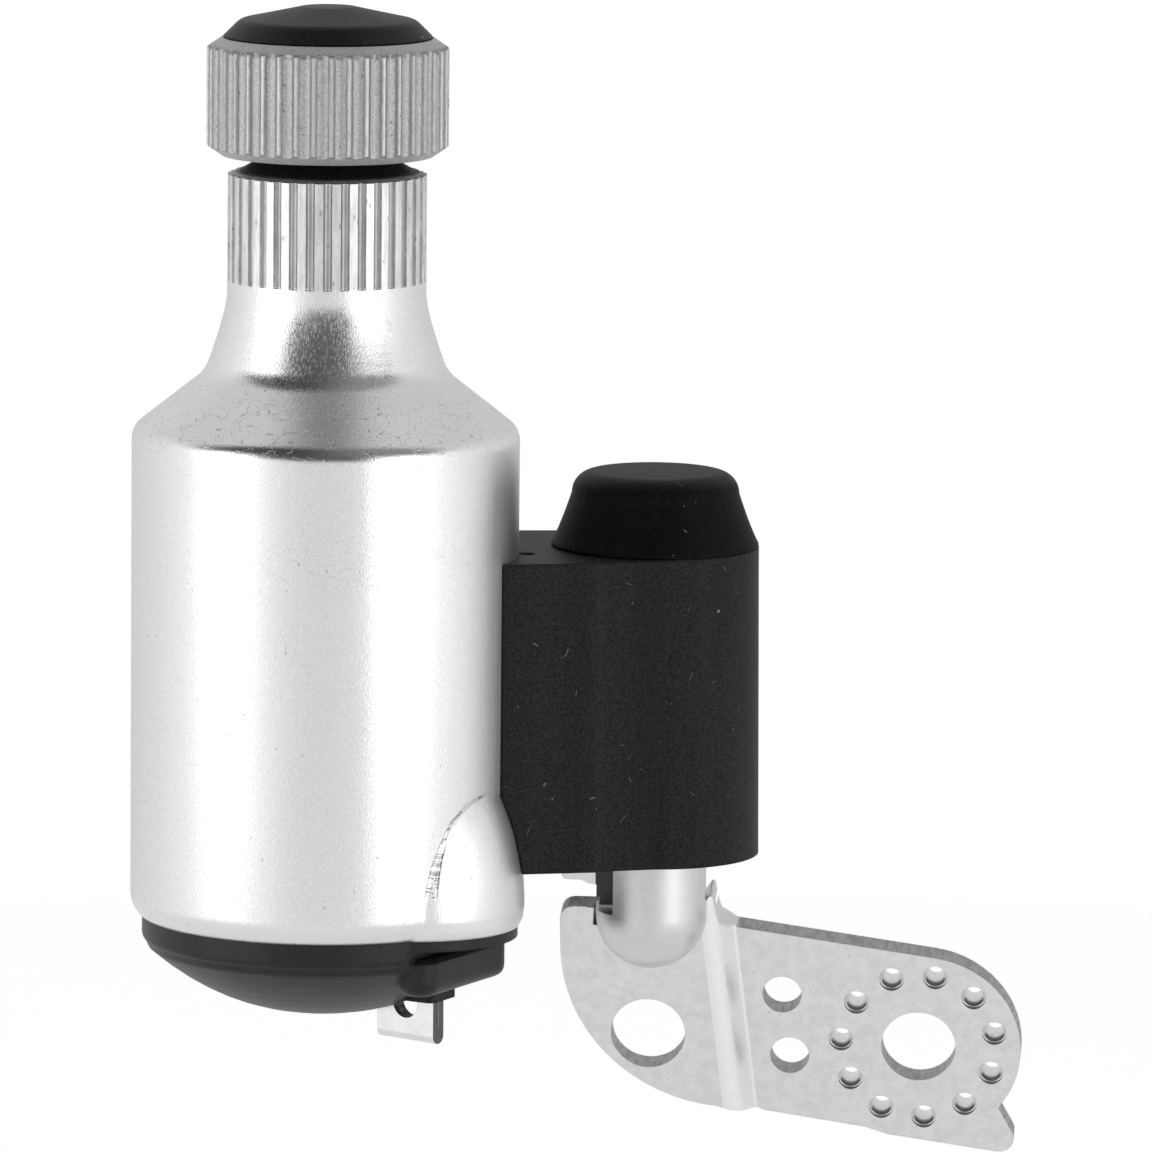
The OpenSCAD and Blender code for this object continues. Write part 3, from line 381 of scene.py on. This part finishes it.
def bracket_metal():
    """Zinc-plated sheet: mottled faces, dark sheared walls, painted light on the joggle step, painted
    light and shade in the grip points and painted shade in the slit.
    """
    g = Surface("zinc_plated_sheet")
    x, y, z = g.split(g.coord)
    side = g.minus(x, HINGE.x)
    up = g.minus(z, HINGE.z)
    mottle = g.noise(g.place((700, 700, 700)), detail=4.0, rough=0.65)
    cloud = g.noise(g.place((110, 110, 110)), detail=2.0)
    grain = g.noise(g.place((4200, 4200, 4200)), detail=2.0)
    pits = g.specks(g.coord, 1500, 0.22, 0.06)
    hairs = g.hairs(g.coord, 240, 0.006, 420, 0.64, 0.1)
    marks = g.weighted((pits, 0.6), (hairs, 0.4))

    # the part's origin is the middle of the bolt hole and of the grip points' ring round it; neither
    # the points' walls nor the torn fin beside the tube are cut walls
    square = g.absolute(g.facing(0, math.cos(SHEET_LEAN), math.sin(SHEET_LEAN)))
    reach = g.add("ShaderNodeVectorMath", operation="LENGTH")
    g.link(g.coord, reach.inputs[0])
    points = g.within(reach.outputs["Value"], 0.0068, 0.0103, 0.0002)
    fin = g.times(g.within(side, 0.0052, 0.0092, 0.0002), g.fade(up, -0.0042, -0.0034))
    sheared, tears = sheared_walls(g, square, g.larger(points, g.times(fin, 0.9)))

    # the step between the sheet's two halves gets painted light, the grip points painted light above and
    # painted shade below
    joggle = g.within(square, 0.42, 0.975, 0.01)
    depth = g.weighted((y, math.cos(SHEET_LEAN)), (z, math.sin(SHEET_LEAN)))
    lower_wall = g.times(g.fade(g.facing(0, 0, 1), 0.1, 0.5), g.fade(depth, 0.0015, 0.0009))
    face = g.blend(g.fade(mottle, 0.35, 0.65), 0.82, 0.90)
    face = g.blend(g.times(joggle, 0.85), face, 1.0)
    face = g.blend(g.times(points, g.fade(square, 0.95, 0.8)), face, g.blend(lower_wall, 1.0, 0.16))
    tube = tube_mask(g, g.minus(z, DOME_Z))
    face = g.blend(g.times(tube, 0.9), face, g.blend(mottle, 0.68, 0.84))

    # painted shade on the slit's edge beside the tube
    slit = g.times(g.within(side, -0.00610, -0.00375, 0.00005),
                   g.times(g.within(g.minus(y, HINGE.y), -0.0002, 0.0002, 0.0001),
                           g.fade(up, -0.0006, -0.0003)))
    wall = g.blend(g.fade(tears, 0.35, 0.65), 0.26, 0.44)
    colour = g.blend(g.times(sheared, 0.8), face, wall)
    colour = g.blend(slit, colour, g.blend(mottle, 0.08, 0.20))

    roughness = g.total(g.level(mottle, 0.28, 0.37),
                        g.weighted((cloud, 0.06), (sheared, 0.14), (tube, 0.05), (slit, 0.3)))
    height = g.weighted((mottle, 0.45), (grain, 0.45), (marks, -0.8),
                        (drawn_rings(g, side, up, cloud), 2.2), (g.times(sheared, tears), 3.0))
    return g.shade(Base_Color=g.blend(g.times(marks, 0.5), colour, 0.28), Metallic=1.0,
                   Roughness=roughness, Normal=g.bump(height, 0.00003, g.rounded(0.00018)))


def tinned_metal():
    """Bright tinned strip, with the faces along one side painted dark as shade."""
    g = Surface("terminal_tinned_strip")
    mottle = g.noise(g.place((900, 900, 900)), detail=3.0)
    pits = g.specks(g.coord, 2600, 0.25, 0.10)
    # painted shade: the faces turned this way are painted dark
    edge = g.fade(g.facing(0.85, -0.53, 0), 0.7, 0.9)
    face = g.blend(edge, g.blend(mottle, 0.84, 0.93), 0.14)
    height = g.weighted((mottle, 1.0), (pits, -0.6))
    return g.shade(Base_Color=g.blend(g.times(pits, 0.6), face, 0.3), Metallic=1.0,
                   Roughness=g.level(mottle, 0.18, 0.34),
                   Normal=g.bump(height, 0.00002, g.rounded(0.0001)))


def tinted(tone, tint):
    return tuple(tone * c for c in tint) + (1,)


def plain_metal(name, tone, rough, tint=(1, 1, 1)):
    """Turned or drawn metal for the inner pieces."""
    g = Surface(name)
    turning = g.noise(g.place((90, 90, 2600)), detail=2.0)
    grain = g.noise(g.place((1800, 1800, 1800)), detail=2.0)
    return g.shade(Base_Color=g.blend(grain, tinted(tone * 0.9, tint), tinted(tone, tint)),
                   Metallic=1.0, Roughness=g.level(turning, rough * 0.8, rough * 1.2),
                   Normal=g.bump(g.total(turning, grain), 0.00001))


# Plastics and rubber

def black_plastic(name, tone, rough, texture, depth, dust, edge=0.00025, shine=0.22, flank=1.0,
                  bowl=None, spotty=0.4):
    """Moulded black, with lint and dust on it.

    texture and depth are the moulded grain's, flank is the share of the shine that upright faces
    keep, and bowl a wider rounding of the edges at the part's lower end.
    """
    g = Surface(name)
    spark = g.noise(g.place((texture,) * 3), detail=3.0, rough=0.65)
    cloud = g.noise(g.place((70, 70, 45)), detail=3.0)
    bands = g.noise(g.place((260, 260, 8)), detail=2.0)
    specks = g.specks(g.coord, 520, 0.11, 0.05)
    crumbs = g.specks(g.place((1, 1, 1), (0.3, 0.1, 0.2)), 1300, 0.14, 0.03)
    lint = g.hairs(g.coord, 150, 0.003, 520, 0.66, 0.1)
    loose = g.weighted((specks, 1.0), (crumbs, 0.7), (lint, 0.5))
    dusty = g.math("MULTIPLY", loose, dust, clamp=True)

    spots = g.fade(spark, 0.3, 0.7, 1 - spotty, 1 + spotty)
    base = g.blend(g.fade(g.times(bands, spots), 0.15, 0.9), tone * 0.6, tone * 1.5)
    upward = g.fade(g.facing(0, 0, 1), 0.35, 0.8)
    soft = edge
    if bowl is not None:
        soft = g.level(g.fade(g.split(g.coord)[2], 0.0136, 0.0126), edge, bowl)
    return g.shade(Base_Color=g.blend(dusty, base, 0.33), Metallic=0.0,
                   Specular_IOR_Level=g.times(g.level(upward, shine * flank, shine), spots),
                   Roughness=g.total(g.level(spark, rough - 0.07, rough + 0.07), g.times(cloud, 0.08)),
                   Normal=g.bump(g.weighted((spark, 1.0), (dusty, 0.8)), depth, g.rounded(soft)))


def pale_plastic(name, tone, tint=(1, 1, 1)):
    """Natural nylon for the inner pieces."""
    g = Surface(name)
    cloud = g.noise(g.place((300, 300, 300)), detail=3.0)
    return g.shade(Base_Color=g.blend(cloud, tinted(tone * 0.88, tint), tinted(tone, tint)),
                   Metallic=0.0, Roughness=g.level(cloud, 0.4, 0.55), Normal=g.bump(cloud, 0.00002))


spring_steel = plain_metal("spring_steel_wire", 0.5, 0.3)
bronze = plain_metal("sintered_bronze_porous", 0.55, 0.5, (1, 0.72, 0.4))
core_steel = plain_metal("core_steel_sheet", 0.45, 0.45)
ground_steel = plain_metal("shaft_steel_ground", 0.65, 0.2)
FINISHES = {
    "bottle": can_metal(),
    "drive_roller": roller_metal(),
    "bracket": bracket_metal(),
    "terminal": tinned_metal(),
    "hinge_housing": black_plastic("housing_spark_texture", 0.0125, 0.5, texture=3600,
                                   depth=0.00004, dust=1.0, edge=0.0005),
    "bottom_cap": black_plastic("cap_moulded", 0.014, 0.36, texture=3400, depth=0.000018,
                                dust=0.5, edge=0.0003, shine=0.37, bowl=0.0016, spotty=0.12),
    "terminal_block": black_plastic("terminal_block_moulded", 0.012, 0.4, texture=3400,
                                    depth=0.000018, dust=0.2),
    "roller_cap": black_plastic("roller_cap_moulded", 0.006, 0.42, texture=3000, depth=0.00003,
                                dust=0.8, edge=0.0002, shine=0.27, flank=0.12, spotty=0.2),
    "neck_carrier": black_plastic("carrier_moulded", 0.009, 0.45, texture=3000, depth=0.00002,
                                  dust=0.3),
    "button_guide": black_plastic("guide_moulded", 0.015, 0.45, texture=3000, depth=0.00002,
                                  dust=0.1),
    "cap_gasket": black_plastic("gasket_rubber", 0.02, 0.6, texture=1500, depth=0.00003, dust=0.1),
    "tube_clip": spring_steel,
    "swing_spring": spring_steel,
    "button_spring": spring_steel,
    "shaft_clip": spring_steel,
    "hinge_rivets": plain_metal("rivet_aluminium_plain", 0.8, 0.35),
    "lower_hinge_bush": bronze,
    "upper_hinge_bush": bronze,
    "upper_bush": bronze,
    "lower_bush": bronze,
    "lower_plate": core_steel,
    "yoke_ring": core_steel,
    "upper_claw": core_steel,
    "lower_claw": core_steel,
    "latch_plunger": ground_steel,
    "shaft": ground_steel,
    "roller_nut": ground_steel,
    "bobbin": pale_plastic("bobbin_natural", 0.7, (1, 0.97, 0.88)),
    "thrust_washer": pale_plastic("washer_natural", 0.75),
    "lower_washer": pale_plastic("lower_washer_natural", 0.75),
    "magnet_hub": pale_plastic("hub_natural", 0.6),
    "winding": plain_metal("copper_enamelled", 0.8, 0.35, (1, 0.45, 0.2)),
    "contact_strip": plain_metal("contact_brass_strip", 0.75, 0.3, (1, 0.8, 0.4)),
    "magnet": plain_metal("ferrite_ground", 0.12, 0.6),
}
for node_name, finish in FINISHES.items():
    for material_slot in NODES[node_name].material_slots:
        material_slot.material = finish


# Soft pieces of the release button, which shorten as it goes down in the real part; here they keep their
# rest length

def boot_profile():
    """Radius and height above the shelf, in millimetres, from the foot up to the axis."""
    foot = Vector((11.25, 0.35))
    knee = Vector((10.35, 2.0))
    rim_r = 2.35
    rim_mid = Vector((6.75, BOOT_HEIGHT - 2.4))
    waist = rim_mid + Vector((rim_r, 0))
    points = [Vector((foot.x, 0.0)), Vector((foot.x, 0.2))]
    for i in range(17):
        t = i / 16
        points.append(foot * (1 - t) ** 2 + knee * 2 * t * (1 - t) + waist * t ** 2)
    for i in range(1, 13):
        a = math.radians(84 * i / 12)
        points.append(rim_mid + rim_r * Vector((math.cos(a), math.sin(a))))
    shoulder = points[-1]
    for r in (6.0, 4.8, 3.4, 2.0, 0.8):
        points.append(Vector((r, BOOT_HEIGHT - (BOOT_HEIGHT - shoulder.y) * (r / shoulder.x) ** 2)))
    return points


def add_object(name, data):
    added = bpy.data.objects.new(name, data)
    bpy.context.collection.objects.link(added)
    return added


def make_boot():
    """The hollow rubber boot, turned in one piece with its bore."""
    ceiling = BOOT_HEIGHT - 1.2
    bore = 8.1
    inner = [Vector((bore, 0.0)), Vector((bore, ceiling - 1)), Vector((bore - 1, ceiling)),
             Vector((0.8, ceiling))]
    sides = 96
    verts, faces = [], []

    def turned_skin(path, top, inward):
        """Turns a path round the hinge's axis and closes it at the top; gives its first vertex."""
        start = len(verts)
        last = start + (len(path) - 1) * sides
        tip = last + sides
        for p in path:
            for k in range(sides):
                a = 2 * math.pi * k / sides
                verts.append((HINGE.x + p.x / 1000 * math.cos(a), HINGE.y + p.x / 1000 * math.sin(a),
                              SHELF + p.y / 1000))
        verts.append((HINGE.x, HINGE.y, SHELF + top / 1000))
        skin = []
        for ring in range(start, last, sides):
            for k in range(sides):
                a, b = ring + k, ring + (k + 1) % sides
                skin.append((a, b, b + sides, a + sides))
        for k in range(sides):
            skin.append((last + k, last + (k + 1) % sides, tip))
        faces.extend(tuple(reversed(face)) if inward else face for face in skin)
        return start

    first = turned_skin(boot_profile(), BOOT_HEIGHT, False)
    second = turned_skin(inner, ceiling, True)
    for k in range(sides):
        following = (k + 1) % sides
        faces.append((first + following, first + k, second + k, second + following))
    mesh = bpy.data.meshes.new("button_boot_rubber")
    mesh.from_pydata(verts, [], faces)
    mesh.update()
    for p in mesh.polygons:
        p.use_smooth = True
    mesh.materials.append(black_plastic("boot_rubber_moulded", 0.006, 0.5, texture=2800, depth=0.00003,
                                        dust=1.0, edge=0.0002, shine=0.21, flank=0.4, spotty=0.3))
    boot = add_object("button_boot_rubber", mesh)
    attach(boot, "dynamo")
    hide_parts("button_boot")
    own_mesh(boot)


def make_button_spring():
    """The button's spring once more, as an object of its own with the spring steel finish.

    seat and top, the heights of its ends, are not used.
    """
    mesh = NODES["button_spring"].data.copy()
    mesh.materials.clear()
    mesh.materials.append(spring_steel)
    spring = add_object("button_spring_wire", mesh)
    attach(spring, "dynamo")
    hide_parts("button_spring")
    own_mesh(spring)


make_boot()
make_button_spring()


# Studio: floor, surroundings, lamps and camera

def make_floor():
    """A round pale table under the part, which looks white and takes the part's shadow."""
    bpy.ops.mesh.primitive_circle_add(vertices=96, radius=0.34, fill_type="NGON",
                                      location=(-0.03, -0.005, -0.046))
    floor = bpy.context.object
    floor.name = "floor"
    g = Surface("floor_pale")
    path = g.add("ShaderNodeLightPath")
    seen = g.weighted((path.outputs["Is Camera Ray"], 0.58), (path.outputs["Is Glossy Ray"], 0.32))
    floor.data.materials.append(g.shade(Base_Color=grey(0.85), Roughness=0.9,
                                        Emission_Color=grey(1.0), Emission_Strength=seen))


def make_surroundings():
    """A studio given by direction: how bright it is over azimuth and height, in degrees.

    Azimuth 0 is where the camera stands, and rises to the right of the picture.
    """
    world = bpy.data.worlds.new("studio")
    bpy.context.scene.world = world
    world.use_nodes = True
    g = Nodes(world.node_tree)
    x, y, z = g.split(g.add("ShaderNodeTexCoord").outputs["Generated"])
    turn = math.radians(CAMERA_AZIMUTH)
    ahead = g.weighted((x, math.sin(turn)), (y, -math.cos(turn)))
    aside = g.weighted((x, math.cos(turn)), (y, math.sin(turn)))
    azimuth = g.bearing(aside, ahead)
    height = g.times(g.math("ARCSINE", z), 180 / math.pi)

    # walls: soft boxes to the left and right, greyer in front of the object and behind it
    walls = g.ramp(azimuth, [(-180, 0.64), (-143, 0.68), (-112, 0.80), (-92, 0.90), (-74, 1.08),
                             (-46, 1.16), (-33, 0.96), (-20, 0.74), (-4, 0.70), (12, 0.72),
                             (27, 0.80), (38, 0.98), (48, 1.17), (62, 1.12), (82, 0.98),
                             (98, 0.79), (120, 0.70), (150, 0.62), (180, 0.64)])
    # the white table goes on under the object, the wall behind is greyer above
    walls = g.level(g.fade(height, -14, -34), walls, 0.95)
    back_wall = g.times(g.fade(height, 20, 45), g.fade(g.absolute(azimuth), 60, 110))
    walls = g.level(back_wall, walls, 0.62)

    # the dark room round the camera: a narrow gap between the soft boxes that opens out above them
    left = g.total(azimuth, g.fade(height, 11, 31, 19, 92))
    right = g.minus(g.fade(height, 11, 34, 34, 88), azimuth)
    gap = g.times(g.fade(left, -9, 9), g.fade(right, -9, 9))
    dark = g.times(gap, g.fade(height, 2, 15))
    # how dark that room is, which gets lighter towards the upper right, and the dim ceiling over it
    depth = g.level(g.fade(height, 27, 38), 0.085, g.fade(azimuth, -25, 55, 0.055, 0.24))
    room = g.level(dark, walls, depth)
    ceiling = g.level(g.fade(height, 72, 84), room, 0.21)

    sky = g.feed(g.add("ShaderNodeBackground"), Color=ceiling, Strength=1.0)
    white = g.feed(g.add("ShaderNodeBackground"), Color=grey(1.0))
    pick = g.add("ShaderNodeMixShader")
    g.link(g.add("ShaderNodeLightPath").outputs["Is Camera Ray"], pick.inputs[0])
    g.link(sky, pick.inputs[1])
    g.link(white, pick.inputs[2])
    g.link(pick.outputs[0], g.add("ShaderNodeOutputWorld").inputs["Surface"])


def add_lamp(name, place, aim, size, power):
    """A soft box at one place, turned to another."""
    data = bpy.data.lights.new(name, "AREA")
    data.shape = "RECTANGLE"
    data.size, data.size_y = size
    data.energy = power
    lamp = add_object(name, data)
    lamp.location = place
    lamp.rotation_euler = (Vector(aim) - Vector(place)).to_track_quat("-Z", "Y").to_euler()
    lamp.visible_camera = False


def make_camera():
    """The photograph's camera: a little to the left of the front, looking slightly down.

    focal is in pixels of the photograph, distance in metres, and origin is the pixel where the
    photograph shows the part's origin.
    """
    photo_size = 1152
    focal = 9330.0
    distance = 1.0267
    origin_x, origin_y = 918.3, 1046.3
    a, e, roll = (math.radians(v) for v in (CAMERA_AZIMUTH, CAMERA_DOWN, CAMERA_ROLL))
    forward = Vector((-math.sin(a) * math.cos(e), math.cos(a) * math.cos(e), -math.sin(e)))
    right = Vector((math.cos(a), math.sin(a), 0))
    up = right.cross(forward)
    right, up = (right * math.cos(roll) + up * math.sin(roll),
                 up * math.cos(roll) - right * math.sin(roll))
    to_origin = distance * (forward + (origin_x - photo_size / 2) / focal * right
                            - (origin_y - photo_size / 2) / focal * up)
    data = bpy.data.cameras.new("camera")
    data.sensor_width = 36
    data.lens = focal / photo_size * data.sensor_width
    data.clip_start = 0.05
    data.clip_end = 50
    camera = add_object("camera", data)
    turn = Matrix((right, up, -forward)).transposed().to_4x4()
    camera.matrix_world = Matrix.Translation(-to_origin) @ turn
    bpy.context.scene.camera = camera


make_floor()
make_surroundings()
add_lamp("key", (-0.82, -0.55, 0.25), (-0.05, -0.01, 0.05), (0.5, 0.7), 1.5)
add_lamp("fill", (0.66, -0.60, 0.20), (-0.03, -0.01, 0.05), (0.5, 0.7), 1.3)
make_camera()
bpy.context.scene.view_settings.view_transform = "Standard"
